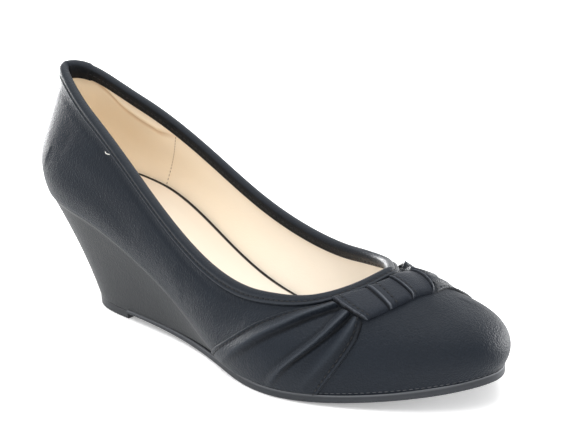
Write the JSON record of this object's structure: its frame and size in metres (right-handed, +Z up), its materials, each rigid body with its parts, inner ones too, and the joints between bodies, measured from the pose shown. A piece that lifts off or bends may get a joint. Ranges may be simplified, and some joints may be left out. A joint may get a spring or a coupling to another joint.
{
  "type": "wedge pump",
  "caption": "Closed-toe slip-on wedge pump, right foot, with a covered wedge heel, bound collar and a pleated knot across the vamp.",
  "frame": {"origin": "on the floor under the middle of the shoe's bounding box", "axes": "+X from the heel to the toe, +Y to the inner side of the foot, +Z up from the floor"},
  "size_m": [0.2438, 0.089, 0.1035],
  "materials": {
    "outsole_rubber": "matt moulded",
    "heel_tip_rubber": "matt moulded",
    "wedge_cover": "matt, fine grain",
    "sock_lining": "matt, smooth",
    "upper_leather": "matt, fine grain",
    "binding_leather": "satin",
    "drape_leather": "satin",
    "band_leather": "satin"
  },
  "bodies": {
    "root": {"outsole": "outsole_rubber", "heel_tip": "heel_tip_rubber", "wedge": "wedge_cover", "insole": "sock_lining", "upper": "upper_leather", "collar_binding": "binding_leather", "drape_lateral": "drape_leather", "drape_medial": "drape_leather", "knot_band": "band_leather"}
  },
  "joints": []
}
